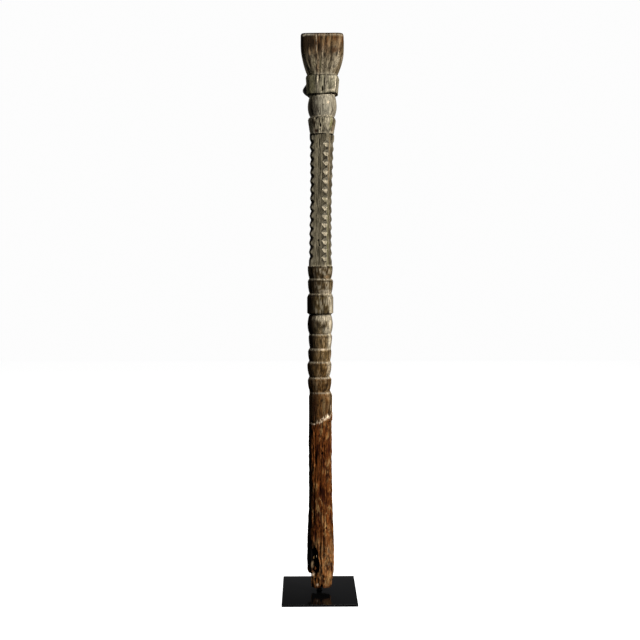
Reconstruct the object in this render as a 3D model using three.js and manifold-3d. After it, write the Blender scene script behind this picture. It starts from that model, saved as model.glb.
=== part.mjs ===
// Carved hardwood post on a steel stand. Millimetres, +Z up, the carved front faces -Y,
// and the origin is under the middle of the stand's plate.
import * as THREE from "three";
import { mergeVertices } from "three/addons/utils/BufferGeometryUtils.js";
import Module from "manifold-3d";

const wasm = await Module();
wasm.setup();

// Stand
const PLATE_WIDTH = 230;
const PLATE_DEPTH = 255;
const PLATE_THICKNESS = 6;
const PLATE_CORNER = 2;
const PLATE_EDGE = 0.6;
const ROD_RADIUS = 8;
const ROD_TOP = 78;
const ROD_EDGE = 1.5;
const ROD_SIDES = 32;
const WELD = 4;
const FIT_GAP = 0.3;

// Post: heights of the bands from the top down, half-widths across the flats, and how far
// from a band's end its edge starts and how much is worn off it there
const POST_TOP = 1706;
const CAPITAL = { bottom: 1589, rim: 64.2, rimHeight: 30, neck: 42.8, turn: -3 };
const COLLAR = {
  top: 1588,
  bottom: 1532.5,
  rise: 5,
  upper: 49.6,
  lower: 46,
  upperEdge: 5,
  lowerEdge: 1.5,
  worn: 1.5,
  shift: 1.2,
};
const BULB = { top: 1532, bottom: 1468, upperEnd: 37.4, lowerEnd: 35.5, belly: 43.6, shift: 0.7 };
const CONE = { top: 1464, bottom: 1417, lip: 41.8, waist: 35.2, shoulder: 14, edge: 5, worn: 2, shift: 0.3 };
const DRUM = {
  top: 931,
  bottom: 870.5,
  radius: 39.6,
  upperEnd: 36,
  lowerEnd: 34,
  upperBevel: 9,
  lowerBevel: 4.5,
  shift: 0.7,
};
const BARREL = { top: 868, bottom: 811, upperEnd: 33, lowerEnd: 33, belly: 38.2, shift: 0.5 };
const NECK = { top: 624, bottom: 544, radius: 35.5, edge: 6, worn: 2, shift: 1.2 };

// Raw foot: its radii, the shares of its length over which it thickens and is worn in again,
// the rotted hollow low on its left, the stump below that, and the split in its end
const FOOT = { bottom: 22, thin: 34.8, thick: 41, end: 33, thickens: [0.42, 0.8], wears: [0.9, 1] };
const HOLLOW = { angle: -27, out: 41, z: 112, wide: 13, deep: 17, tall: 46 };
const STUMP = { face: -25, top: 70, lean: -4 };
const SPLIT = { x: 1, front: -30, half: 7, tall: 34, stretch: 5 };

// Cups have a lip cut off square on top and round in to a waist below
const LIP = { edge: 3, worn: 1.2 };
const UPPER_CUPS = [
  { top: 1018, bottom: 980, lip: 37.8, waist: 33, shift: 0.5 },
  { top: 975, bottom: 935, lip: 38.2, waist: 33.3, shift: 1.5 },
];
const LOWER_CUPS = [
  { top: 805, bottom: 768, lip: 35.5, waist: 32, shift: 1 },
  { top: 760, bottom: 728, lip: 35.4, waist: 31.8, shift: -1 },
  { top: 719, bottom: 679, lip: 36.6, waist: 30.6, shift: -2 },
  { top: 671, bottom: 635, lip: 35.8, waist: 31.2, shift: -1.5 },
];

// Squared shaft: half-diagonals at its top, middle and bottom, and the V-cuts along each arris,
// with the share of a cut's height below its deepest line, and the core that runs inside it
const SHAFT = { top: 1420, bottom: 1014, wide: 41.9, slim: 37.8, low: 40, wornBy: 2, shift: 0.8 };
const NOTCH_COUNT = 14;
const NOTCH_TOP = 1390;
const NOTCH_PITCH = 26.4;
const NOTCH_HEIGHT = 23;
const NOTCH_DEEPEST = 0.6;
const CORE = { radius: 24, lap: 6 };
const ARRISES = [
  { angle: 23, start: -4, bow: 6, depth: 8 },
  { angle: 113, start: -2, bow: 3, depth: 5 },
  { angle: 203, start: 1, bow: -2, depth: 6 },
  { angle: 293, start: 0, bow: -5, depth: 7 },
];

// Lug on the collar's left side
const LUG = { top: 1573, tip: 1547, bottom: 1536, reach: 59, width: 34 };

// The timber's bend to the right, as [height, sideways] along its axis
const BEND = [
  [0, 5],
  [400, 3.4],
  [850, 1.9],
  [1120, 2.9],
  [1450, 7.9],
  [1760, 10.2],
];

// How far the carved bands are turned from facing the front, and how squared off each is
const BAND_TURN = -6;
const SIDES = 36;
const ROUND = 2.4;
const SOFT_SQUARE = 3;
const SQUARE = 4;
const BLOCK = 8;

const WEATHERED_WOOD = { color: 0x6b5c46, roughness: 0.85, metalness: 0 };
const BLACK_STEEL = { color: 0x1d1d1f, roughness: 0.4, metalness: 0.4 };

const radians = THREE.MathUtils.degToRad;

// Angles run from the front, -Y, towards +X
const facing = (angle) => new THREE.Vector3(Math.sin(angle), -Math.cos(angle), 0);

function solid(geometry) {
  const bare = geometry.clone();
  bare.deleteAttribute("normal");
  bare.deleteAttribute("uv");
  const merged = mergeVertices(bare, 1e-4);
  return new wasm.Manifold(
    new wasm.Mesh({
      numProp: 3,
      vertProperties: merged.attributes.position.array,
      triVerts: new Uint32Array(merged.index.array),
    }),
  );
}

function geometryOf(body) {
  const mesh = body.getMesh();
  const geometry = new THREE.BufferGeometry();
  geometry.setAttribute("position", new THREE.BufferAttribute(mesh.vertProperties, 3));
  geometry.setIndex(new THREE.BufferAttribute(mesh.triVerts, 1));
  geometry.computeVertexNormals();
  return geometry;
}

// A profile of {r, z} from the bottom up, turned round the Z axis
function lathe(profile, sides, start = 0) {
  const points = profile.map((p) => new THREE.Vector2(p.r, p.z));
  return new THREE.LatheGeometry(points, sides, start).rotateX(Math.PI / 2);
}

function reshape(geometry, change) {
  const places = geometry.attributes.position;
  const place = new THREE.Vector3();
  for (let i = 0; i < places.count; i += 1) {
    place.fromBufferAttribute(places, i);
    change(place, i);
    places.setXYZ(i, place.x, place.y, place.z);
  }
  return geometry;
}

// Radius of a squared-off circle, as a share of its half-width across the flats
function squareness(angle, power) {
  const across = Math.abs(Math.cos(angle)) ** power + Math.abs(Math.sin(angle)) ** power;
  return across ** (-1 / power);
}

// Profiles of the carved bands, each from its bottom up
function swelling(band, count, power) {
  return Array.from({ length: count + 1 }, (_, i) => {
    const t = i / count;
    const swell = Math.max(0, Math.sin(Math.PI * t)) ** 0.8;
    const end = THREE.MathUtils.lerp(band.lowerEnd, band.upperEnd, t);
    const r = THREE.MathUtils.lerp(end, band.belly, swell);
    return { r, z: THREE.MathUtils.lerp(band.bottom, band.top, t), power, shift: band.shift };
  });
}

function cup(band, power) {
  const steps = 4;
  const height = band.top - band.bottom;
  const side = Array.from({ length: steps }, (_, i) => {
    const t = i / steps;
    const r = band.waist + (band.lip - band.waist) * (1 - (1 - t) ** 2.2);
    return { r, z: band.bottom + (height - LIP.edge) * t, power, shift: band.shift };
  });
  const lip = { r: band.lip, z: band.top - LIP.edge, power, shift: band.shift };
  const edge = { r: band.lip - LIP.worn, z: band.top, power, shift: band.shift };
  return [...side, lip, edge];
}

function drum(band, power) {
  const { shift } = band;
  return [
    { r: band.lowerEnd, z: band.bottom, power, shift },
    { r: band.radius, z: band.bottom + band.lowerBevel, power, shift },
    { r: band.radius, z: band.top - band.upperBevel, power, shift },
    { r: band.upperEnd, z: band.top, power, shift },
  ];
}

function cone(band, power) {
  const { shift } = band;
  return [
    { r: band.waist, z: band.bottom, power, shift },
    { r: band.lip - band.worn / 2, z: band.top - band.shoulder, power, shift },
    { r: band.lip, z: band.top - band.edge, power, shift },
    { r: band.lip - band.worn, z: band.top, power, shift },
  ];
}

function collar(band, power) {
  const { shift } = band;
  return [
    { r: band.lower - 2 * band.worn, z: band.bottom, power, shift },
    { r: band.lower, z: band.bottom + band.lowerEdge, power, shift },
    { r: band.upper, z: band.top - band.upperEdge, power, shift },
    { r: band.upper - band.worn, z: band.top, power, shift },
  ];
}

function neck(band, power) {
  const { shift } = band;
  return [
    { r: band.radius, z: band.bottom, power, shift },
    { r: band.radius, z: band.top - band.edge, power, shift },
    { r: band.radius - band.worn, z: band.top, power, shift },
  ];
}

function flare(band) {
  const steps = 7;
  const rise = POST_TOP - band.rimHeight - band.bottom;
  const { turn } = band;
  const side = Array.from({ length: steps + 1 }, (_, i) => {
    const t = i / steps;
    const r = band.neck + (band.rim - band.neck) * Math.sin((Math.PI / 2) * t) ** 0.95;
    return { r, z: band.bottom + rise * t, power: THREE.MathUtils.lerp(SOFT_SQUARE, BLOCK, t), turn };
  });
  return [
    ...side,
    { r: band.rim, z: POST_TOP - LIP.edge, power: BLOCK, turn },
    { r: band.rim - LIP.worn, z: POST_TOP, power: BLOCK, turn },
    { r: 0, z: POST_TOP, power: BLOCK, turn },
  ];
}

// The foot thickens downwards and is drawn in again at its worn end
function foot(band) {
  const steps = 15;
  const top = NECK.bottom - 3;
  return Array.from({ length: steps + 1 }, (_, i) => {
    const t = i / steps;
    const spread = THREE.MathUtils.smoothstep(t, ...band.thickens);
    const worn = THREE.MathUtils.smoothstep(t, ...band.wears);
    const r = band.thin + (band.thick - band.thin) * spread - (band.thick - band.end) * worn;
    const z = THREE.MathUtils.lerp(top, band.bottom, t);
    return { r, z, power: ROUND, raw: Math.min(1, t * 8) };
  }).reverse();
}

// Weathered hollows that run with the grain, as a share of the radius
function erosion(angle, z) {
  const broad = Math.sin(3 * angle + z / 95) + Math.sin(2 * angle - z / 140 + 1);
  const narrow = Math.sin(7 * angle + Math.sin(z / 60) * 1.4);
  return 0.014 * broad + 0.014 * narrow;
}

// How much higher the collar's lower edge runs on its right
function collarRise(angle, z) {
  const below = THREE.MathUtils.smoothstep(z, BULB.bottom, BULB.top);
  const above = 1 - THREE.MathUtils.smoothstep(z, COLLAR.bottom + COLLAR.lowerEdge, COLLAR.top);
  return COLLAR.rise * below * above * Math.max(0, Math.sin(angle));
}

// Round bands, squared off and set a little off the axis as the hand left them
function bands() {
  const profile = [
    { r: 0, z: FOOT.bottom + 3, power: ROUND },
    ...foot(FOOT),
    ...neck(NECK, SOFT_SQUARE),
    ...LOWER_CUPS.toReversed().flatMap((band) => cup(band, SOFT_SQUARE)),
    ...swelling(BARREL, 8, SOFT_SQUARE),
    ...drum(DRUM, SOFT_SQUARE),
    ...UPPER_CUPS.toReversed().flatMap((band) => cup(band, SOFT_SQUARE)),
    { r: CORE.radius, z: SHAFT.bottom + CORE.lap, power: ROUND },
    { r: CORE.radius, z: SHAFT.top - CORE.lap, power: ROUND },
    ...cone(CONE, SOFT_SQUARE),
    ...swelling(BULB, 8, ROUND),
    ...collar(COLLAR, SQUARE),
    ...flare(CAPITAL),
  ];
  return reshape(lathe(profile, SIDES), (place, i) => {
    const { power, raw = 0, shift = 0, turn = BAND_TURN } = profile[i % profile.length];
    const angle = Math.atan2(place.x, -place.y);
    const factor = squareness(angle - radians(turn), power) * (1 + raw * erosion(angle, place.z));
    place.x = place.x * factor + shift;
    place.y *= factor;
    place.z += collarRise(angle, place.z);
  });
}

// Half-diagonal of the shaft at a height, slimmest at its middle
function diagonal(z) {
  const t = (z - SHAFT.bottom) / (SHAFT.top - SHAFT.bottom);
  const end = t > 0.5 ? SHAFT.wide : SHAFT.low;
  return SHAFT.slim + (end - SHAFT.slim) * Math.abs(2 * t - 1) ** 1.5;
}

// Four-sided bar whose arrises are rubbed down
function shaft() {
  const steps = 4;
  const bar = (worn) => {
    const side = Array.from({ length: steps + 1 }, (_, i) => {
      const z = THREE.MathUtils.lerp(SHAFT.bottom, SHAFT.top, i / steps);
      return { r: diagonal(z) - worn, z };
    });
    return [{ r: 0, z: SHAFT.bottom }, ...side, { r: 0, z: SHAFT.top }];
  };
  const squared = solid(lathe(bar(0), 4, radians(ARRISES[0].angle)));
  const rounded = solid(lathe(bar(SHAFT.wornBy), SIDES, radians(ARRISES[0].angle + 5)));
  return squared.intersect(rounded);
}

// One V-cut across an arris, its mouth drawn out past the timber
function notch(arris, index) {
  const run = index / (NOTCH_COUNT - 1);
  const z = NOTCH_TOP + arris.start - NOTCH_PITCH * index - arris.bow * Math.sin(Math.PI * run);
  const mouth = 1.6;
  const outside = (mouth - 1) * arris.depth;
  const deepest = (NOTCH_DEEPEST - 0.5) * NOTCH_HEIGHT;
  const cut = new THREE.Shape();
  cut.moveTo(-arris.depth, deepest);
  cut.lineTo(outside, deepest + mouth * (1 - NOTCH_DEEPEST) * NOTCH_HEIGHT);
  cut.lineTo(outside, deepest - mouth * NOTCH_DEEPEST * NOTCH_HEIGHT);
  cut.closePath();
  const width = 60;
  const wedge = new THREE.ExtrudeGeometry(cut, { depth: width, bevelEnabled: false });
  const angle = radians(arris.angle);
  const out = facing(angle);
  const up = new THREE.Vector3(0, 0, 1);
  const along = new THREE.Vector3().crossVectors(out, up);
  wedge.translate(0, 0, -width / 2);
  wedge.applyMatrix4(new THREE.Matrix4().makeBasis(out, up, along));
  const from = out.multiplyScalar(diagonal(z) - SHAFT.wornBy);
  return solid(wedge.translate(from.x, from.y, z));
}

// Wedge-shaped lug, its long slope upwards and its nose rounded
function lug() {
  const inside = COLLAR.lower - 12;
  const outline = new THREE.Shape();
  outline.moveTo(-inside, LUG.top);
  outline.lineTo(-COLLAR.upper + 1, LUG.top);
  outline.quadraticCurveTo(-LUG.reach + 3, LUG.tip + 17, -LUG.reach, LUG.tip + 3);
  outline.quadraticCurveTo(-LUG.reach - 0.5, LUG.bottom + 5, -COLLAR.lower - 3, LUG.bottom + 1);
  outline.lineTo(-inside, LUG.bottom + 1);
  outline.closePath();
  const bevel = 6;
  const block = new THREE.ExtrudeGeometry(outline, {
    depth: LUG.width - 2 * bevel,
    bevelThickness: bevel,
    bevelSize: bevel,
    bevelOffset: -bevel,
    bevelSegments: 3,
    curveSegments: 5,
  });
  return block.translate(0, 0, bevel - LUG.width / 2).rotateX(Math.PI / 2);
}

// Rotted hollow low on the left, the short stump below it, and a split in the end
function decay() {
  const hollow = new THREE.SphereGeometry(1, 16, 12).scale(HOLLOW.wide, HOLLOW.deep, HOLLOW.tall);
  const place = facing(radians(HOLLOW.angle)).multiplyScalar(HOLLOW.out);
  hollow.rotateZ(radians(HOLLOW.angle)).translate(place.x, place.y, HOLLOW.z);
  const [deep, wide, tall] = [30, 120, 80];
  const stump = new THREE.BoxGeometry(deep, wide, tall).rotateY(radians(STUMP.lean));
  stump.translate(STUMP.face - deep / 2, 0, STUMP.top - tall / 2);
  const split = new THREE.ConeGeometry(SPLIT.half, SPLIT.tall, 4).rotateX(Math.PI / 2);
  split.scale(1, SPLIT.stretch, 1).translate(SPLIT.x, SPLIT.front, FOOT.bottom - 3);
  return [hollow, stump, split].map(solid);
}

function bend(geometry) {
  const axis = new THREE.SplineCurve(BEND.map(([z, x]) => new THREE.Vector2(z, x)));
  const samples = axis.getPoints(60);
  return reshape(geometry, (place) => {
    const next = samples.findIndex((p) => p.x > place.z);
    const [a, b] = [samples[next - 1], samples[next]];
    place.x += THREE.MathUtils.mapLinear(place.z, a.x, b.x, a.y, b.y);
  });
}

function carvedPost() {
  const cuts = ARRISES.flatMap((arris) =>
    Array.from({ length: NOTCH_COUNT }, (_, i) => notch(arris, i)),
  );
  const notched = shaft().subtract(wasm.Manifold.union(cuts)).translate([SHAFT.shift, 0, 0]);
  const whole = solid(bands()).add(notched).add(solid(lug()));
  return decay().reduce((body, cut) => body.subtract(cut), whole);
}

// Straight socket for the rod, cut after the timber is bent
function socket() {
  const depth = ROD_TOP + FIT_GAP;
  const radius = ROD_RADIUS + FIT_GAP;
  const bore = new THREE.CylinderGeometry(radius, radius, depth, ROD_SIDES);
  return solid(bore.rotateX(Math.PI / 2).translate(0, 0, depth / 2));
}

function plate() {
  const [x, y] = [PLATE_WIDTH / 2 - PLATE_EDGE, PLATE_DEPTH / 2 - PLATE_EDGE];
  const outline = new THREE.Shape([
    new THREE.Vector2(-x + PLATE_CORNER, -y),
    new THREE.Vector2(x - PLATE_CORNER, -y),
    new THREE.Vector2(x, -y + PLATE_CORNER),
    new THREE.Vector2(x, y - PLATE_CORNER),
    new THREE.Vector2(x - PLATE_CORNER, y),
    new THREE.Vector2(-x + PLATE_CORNER, y),
    new THREE.Vector2(-x, y - PLATE_CORNER),
    new THREE.Vector2(-x, -y + PLATE_CORNER),
  ]);
  const sheet = new THREE.ExtrudeGeometry(outline, {
    depth: PLATE_THICKNESS - 2 * PLATE_EDGE,
    bevelThickness: PLATE_EDGE,
    bevelSize: PLATE_EDGE,
    bevelSegments: 1,
  });
  return sheet.translate(0, 0, PLATE_EDGE);
}

// Rod with its fillet of weld, standing on the plate
function rod() {
  const fillet = Array.from({ length: 5 }, (_, i) => {
    const turn = (Math.PI / 2) * (i / 4);
    const r = ROD_RADIUS + WELD * (1 - Math.sin(turn));
    return { r, z: PLATE_THICKNESS + WELD * (1 - Math.cos(turn)) };
  });
  return lathe(
    [
      { r: 0, z: PLATE_THICKNESS },
      ...fillet,
      { r: ROD_RADIUS, z: ROD_TOP - ROD_EDGE },
      { r: ROD_RADIUS - ROD_EDGE, z: ROD_TOP },
      { r: 0, z: ROD_TOP },
    ],
    ROD_SIDES,
  );
}

function node(name, geometry, finish) {
  const mesh = new THREE.Mesh(geometry, new THREE.MeshStandardMaterial(finish));
  mesh.name = name;
  return mesh;
}

const timber = solid(bend(geometryOf(carvedPost()))).subtract(socket());

const totem = new THREE.Group();
totem.name = "carved_totem";
totem.add(node("carved_post", geometryOf(timber), WEATHERED_WOOD));
totem.add(node("base_plate", plate(), BLACK_STEEL));
totem.add(node("mount_rod", rod(), BLACK_STEEL));

export default totem;
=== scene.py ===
# Looks of the carved totem: relief, weathering and painted light and shade of the timber, steel stand,
# floor, light and camera.
# The object's sizes are millimetres and its angles degrees from the front towards +X, as in the solids.
import math
from types import SimpleNamespace as Sizes

import bmesh
import bpy
import numpy as np
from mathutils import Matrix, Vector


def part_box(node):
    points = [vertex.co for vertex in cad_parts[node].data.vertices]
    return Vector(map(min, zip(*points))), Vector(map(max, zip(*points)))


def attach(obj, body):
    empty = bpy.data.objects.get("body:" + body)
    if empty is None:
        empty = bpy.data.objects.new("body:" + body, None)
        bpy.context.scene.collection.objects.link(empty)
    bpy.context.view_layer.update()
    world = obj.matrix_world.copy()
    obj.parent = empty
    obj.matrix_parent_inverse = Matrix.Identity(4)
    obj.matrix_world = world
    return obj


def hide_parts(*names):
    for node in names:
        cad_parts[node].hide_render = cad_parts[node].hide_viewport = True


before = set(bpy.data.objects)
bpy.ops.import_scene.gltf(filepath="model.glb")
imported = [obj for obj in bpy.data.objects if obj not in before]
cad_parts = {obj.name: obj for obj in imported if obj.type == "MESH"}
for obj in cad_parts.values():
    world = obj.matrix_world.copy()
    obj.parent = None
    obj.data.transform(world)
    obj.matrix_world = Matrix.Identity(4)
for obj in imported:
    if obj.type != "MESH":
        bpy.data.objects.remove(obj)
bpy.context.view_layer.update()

MM = 0.001


def node_box(node):
    """A node's lowest and highest corners in the frame, in millimetres."""
    return [[round(c / MM, 2) for c in corner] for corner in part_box(node)]


# Stand, with its outer sizes from the frame
PLATE_WIDTH, PLATE_DEPTH, PLATE_THICKNESS = (high - low for low, high in zip(*node_box("base_plate")))
PLATE_CORNER = 2.4
PLATE_EDGE = 0.7
ROD_RADIUS = 8
ROD_TOP = node_box("mount_rod")[1][2]
ROD_EDGE = 1.5
ROD_COLUMNS = 64
ROD_ROWS = 12
WELD = 4
WELD_ROWS = 9
FIT_GAP = 0.3

# Post: its ends from the frame, then heights of the bands and half-widths across their flats
POST_BOTTOM, POST_TOP = (corner[2] for corner in node_box("carved_post"))
CROWN = Sizes(rows=26, outer=0.97, inner=0.03, dish=1.2, check=2.2, ring=0.2, deepest=5, dirt=0.6)
CAPITAL = Sizes(bottom=1589, rim=64.2, rim_height=30, neck=42.8, turn=-3, steps=24, curve=0.95)
COLLAR = Sizes(
    top=1588, bottom=1532.5, rise=5, upper=49.6, lower=46, shift=1.2,
    upper_edge=5, lower_edge=1.5, worn=1.5,
)
BULB = Sizes(top=1532, bottom=1468, upper_end=37.4, lower_end=35.5, belly=43.6, shift=0.7)
CONE = Sizes(top=1464, bottom=1417, lip=41.8, waist=35.2, shoulder=14, edge=5, worn=2, shift=0.3)
DRUM = Sizes(
    top=931, bottom=870.5, radius=39.6, shift=0.7,
    upper_end=36, lower_end=34, upper_bevel=9, lower_bevel=4.5,
)
BARREL = Sizes(top=868, bottom=811, upper_end=33, lower_end=33, belly=38.2, shift=0.5)
NECK = Sizes(top=624, bottom=544, radius=35.5, edge=6, worn=2, shift=1.2)
FOOT = Sizes(
    bottom=POST_BOTTOM, below_neck=3, thin=34.8, thick=41, end=33, ragged=60, steps=40,
    thickens=(0.42, 0.8), wears=(0.9, 1),
)
SOCKET = Sizes(rise=3, closed=0.05, ring_shares=(0.3, 0.6, 0.9), ragged=1.5, dirt=0.5)
LIP = Sizes(edge=3, worn=1.2)
CUP = Sizes(steps=12, curve=2.2)
SWELLING = Sizes(steps=22, curve=0.8)
UPPER_CUPS = [
    Sizes(top=1018, bottom=980, lip=37.8, waist=33, shift=0.5),
    Sizes(top=975, bottom=935, lip=38.2, waist=33.3, shift=1.5),
]
LOWER_CUPS = [
    Sizes(top=805, bottom=768, lip=35.5, waist=32, shift=1),
    Sizes(top=760, bottom=728, lip=35.4, waist=31.8, shift=-1),
    Sizes(top=719, bottom=679, lip=36.6, waist=30.6, shift=-2),
    Sizes(top=671, bottom=635, lip=35.8, waist=31.2, shift=-1.5),
]

# Squared shaft and the V-cuts along its arrises, with the share of a cut's height below its deepest line
SHAFT = Sizes(top=1417, bottom=1018, wide=41.9, slim=37.8, low=40, curve=1.5, worn=2, shift=0.8, gap=0.5)
NOTCH_COUNT = 14
NOTCH_TOP = 1390
NOTCH_PITCH = 26.4
NOTCH_HEIGHT = 23
NOTCH_DEEPEST = 0.6
# sooty marks the arris turned from the light, painted black along its cuts as painted shade
ARRISES = [
    Sizes(angle=23, start=-4, bow=6, depth=8, sooty=False),
    Sizes(angle=113, start=-2, bow=3, depth=5, sooty=False),
    Sizes(angle=203, start=1, bow=-2, depth=6, sooty=False),
    Sizes(angle=293, start=0, bow=-5, depth=7, sooty=True),
]
ARRIS_TO_FACE = 45
FACE_REACH = 50

# Lug, bowed axis as heights and places aside, turn of the bands and powers of their outlines
LUG = Sizes(angle=270, top=1573, tip=1548, bottom=1536, reach=59, width=34)
BEND = [(0, 5), (400, 3.4), (850, 1.9), (1120, 2.9), (1450, 7.9), (1760, 10.2)]
BAND_TURN = -6
ROUND, SOFT_SQUARE, SQUARE, BLOCK = 2.4, 3, 4, 8

# Mesh: columns across each arris and across the face after it, and the spacing of rows along each length
ARRIS_COLUMNS = [14, 8, 8, 12]
FACE_COLUMNS = [27, 12, 12, 32]
ARRIS_SPREAD = 18
CARVED_STEP = 2.8
SHAFT_STEP = 2.0
RAW_STEP = 3.4
SHARP_ANGLE = 42

# Radius beyond every surface, and the least cosine that a flat face is worked out for
FAR = 1e6
LEAST_COSINE = 0.2

# Noise: rows in each table of random values, and the rows between which its columns start
NOISE_ROWS = 512
NOISE_START = (64, 72)

# Camera: focal length and frame in pixels, sensor in millimetres, and where it stands in metres and degrees
FOCAL = 900
FRAME = 640
SENSOR = 36
CAMERA_DISTANCE = 2.7654
CAMERA_HEIGHT = 1.0119
CAMERA_PITCH = -3.3
CAMERA_AZIMUTH = -1.0
CAMERA_ASIDE = 0.0022


def smooth(t):
    t = np.clip(t, 0, 1)
    return t * t * (3 - 2 * t)


def ramp(value, low, high):
    return smooth((value - low) / (high - low))


def between(value, low, high, fade, end):
    """Rises from 0 at low to 1 at high, and falls again from fade to end."""
    return ramp(value, low, high) * (1 - ramp(value, fade, end))


def streaks(angle, z, around, length, seed):
    """Smooth noise from -1 to 1 that closes round the post, in cells of 360/around degrees by length mm."""
    rng = np.random.default_rng(seed)
    table = rng.uniform(-1, 1, (NOISE_ROWS, around))
    start = rng.uniform(*NOISE_START, around)
    u = np.mod(angle / 360, 1) * around
    column = np.floor(u).astype(int)

    def along(k):
        c = (column + k) % around
        v = z / length + start[c]
        row = np.floor(v).astype(int)
        t = smooth(v - row)
        return table[row % NOISE_ROWS, c] * (1 - t) + table[(row + 1) % NOISE_ROWS, c] * t

    across = smooth(u - column)
    return along(0) * (1 - across) + along(1) * across


def thin_lines(angle, z, around, length, seed, width=0.13):
    """1 along thin wandering lines that follow the grain, 0 away from them."""
    drift = angle + 3 * streaks(angle, z, 30, 30, seed + 1)
    return np.exp(-((streaks(drift, z, around, length, seed) / width) ** 2))


def within(z, bottom, top):
    return (z > bottom) & (z < top)


def apart(angle, middle):
    """Signed angle from middle, in degrees."""
    return np.mod(angle - middle + 180, 360) - 180


def squareness(angle, power):
    """Radius of an outline of half-width 1: a circle at power 2, and squarer at higher powers."""
    turn = np.radians(angle)
    across = np.abs(np.cos(turn)) ** power + np.abs(np.sin(turn)) ** power
    return across ** (-1 / power)


# Outline of the timber from the foot up, as rows of height, radius, power, turn, sideways shift
def rows_of(points, power, turn=BAND_TURN, shift=0.0):
    return [(z, r, power, turn, shift) for z, r in points]


def foot_rows():
    band = FOOT
    top = NECK.bottom - band.below_neck
    points = []
    for t in np.linspace(1, 0, band.steps):
        spread = ramp(t, *band.thickens)
        worn = ramp(t, *band.wears)
        r = band.thin + (band.thick - band.thin) * spread - (band.thick - band.end) * worn
        points.append((top + (band.bottom - top) * t, r))
    return rows_of(points, ROUND)


def neck_rows():
    band = NECK
    points = [
        (band.bottom, band.radius),
        (band.top - band.edge, band.radius),
        (band.top, band.radius - band.worn),
    ]
    return rows_of(points, SOFT_SQUARE, shift=band.shift)


def cup_rows(band):
    height = band.top - band.bottom - LIP.edge
    points = []
    for t in np.linspace(0, 1, CUP.steps):
        flare = 1 - (1 - t) ** CUP.curve
        points.append((band.bottom + height * t, band.waist + (band.lip - band.waist) * flare))
    points.append((band.top, band.lip - LIP.worn))
    return rows_of(points, SOFT_SQUARE, shift=band.shift)


def swelling_rows(band, power):
    height = band.top - band.bottom
    points = []
    for t in np.linspace(0, 1, SWELLING.steps):
        swell = max(0, math.sin(math.pi * t)) ** SWELLING.curve
        end = band.lower_end + (band.upper_end - band.lower_end) * t
        points.append((band.bottom + height * t, end + (band.belly - end) * swell))
    return rows_of(points, power, shift=band.shift)


def drum_rows():
    band = DRUM
    points = [
        (band.bottom, band.lower_end),
        (band.bottom + band.lower_bevel, band.radius),
        (band.top - band.upper_bevel, band.radius),
        (band.top, band.upper_end),
    ]
    return rows_of(points, SOFT_SQUARE, shift=band.shift)


def cone_rows():
    band = CONE
    points = [
        (band.bottom, band.waist),
        (band.top - band.shoulder, band.lip - band.worn / 2),
        (band.top - band.edge, band.lip),
        (band.top, band.lip - band.worn),
    ]
    return rows_of(points, SOFT_SQUARE, shift=band.shift)


def collar_rows():
    band = COLLAR
    points = [
        (band.bottom, band.lower - 2 * band.worn),
        (band.bottom + band.lower_edge, band.lower),
        (band.top - band.upper_edge, band.upper),
        (band.top, band.upper - band.worn),
    ]
    return rows_of(points, SQUARE, shift=band.shift)


def capital_rows():
    band = CAPITAL
    rise = POST_TOP - band.rim_height - band.bottom
    rows = []
    for t in np.linspace(0, 1, band.steps):
        r = band.neck + (band.rim - band.neck) * math.sin(math.pi / 2 * t) ** band.curve
        power = SOFT_SQUARE + (BLOCK - SOFT_SQUARE) * t
        rows.append((band.bottom + rise * t, r, power, band.turn, 0.0))
    rim = [(POST_TOP - LIP.edge, band.rim), (POST_TOP, band.rim - LIP.worn)]
    return rows + rows_of(rim, BLOCK, band.turn)


def spaced(rows, step):
    """The rows with more between them, so that no two are further apart than step."""
    out = [rows[0]]
    for here, there in zip(rows, rows[1:]):
        count = max(1, math.ceil(math.hypot(there[0] - here[0], there[1] - here[1]) / step))
        for k in range(1, count + 1):
            out.append(tuple(np.array(here) + (np.array(there) - np.array(here)) * k / count))
    return out


def carved_rows():
    lower = neck_rows()
    for cup in reversed(LOWER_CUPS):
        lower += cup_rows(cup)
    lower += swelling_rows(BARREL, SOFT_SQUARE) + drum_rows()
    for cup in reversed(UPPER_CUPS):
        lower += cup_rows(cup)
    upper = cone_rows() + swelling_rows(BULB, ROUND) + collar_rows() + capital_rows()
    return spaced(foot_rows(), RAW_STEP), spaced(lower, CARVED_STEP), spaced(upper, CARVED_STEP)


# Squared shaft
def diagonal(z):
    """Distance of the arrises from the axis at each height, before wear and cuts."""
    t = (z - SHAFT.bottom) / (SHAFT.top - SHAFT.bottom)
    ends = np.where(t > 0.5, SHAFT.wide, SHAFT.low)
    return SHAFT.slim + (ends - SHAFT.slim) * np.abs(2 * t - 1) ** SHAFT.curve


def arris_cut(z, arris):
    """Depth of the V-cuts in one arris at each height."""
    depth = np.zeros_like(z)
    for i in range(NOTCH_COUNT):
        bow = arris.bow * math.sin(math.pi * i / (NOTCH_COUNT - 1))
        middle = NOTCH_TOP + arris.start - NOTCH_PITCH * i - bow
        up = (z - middle) / NOTCH_HEIGHT + 0.5
        slope = np.minimum(up / NOTCH_DEEPEST, (1 - up) / (1 - NOTCH_DEEPEST))
        depth = np.maximum(depth, arris.depth * slope)
    return depth


def angles_from(spread):
    """Column angles of each row, given the half-angle that each arris takes up there."""
    count = len(ARRISES)
    parts = []
    for k in range(count):
        here = ARRISES[k].angle
        after = here + 360 / count
        low = here - spread[:, k]
        high = here + spread[:, k]
        far = after - spread[:, (k + 1) % count]
        for start, end, columns in ((low, high, ARRIS_COLUMNS[k]), (high, far, FACE_COLUMNS[k])):
            parts.append(start[:, None] + (end - start)[:, None] * np.arange(columns) / columns)
    return np.concatenate(parts, axis=1)


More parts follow.
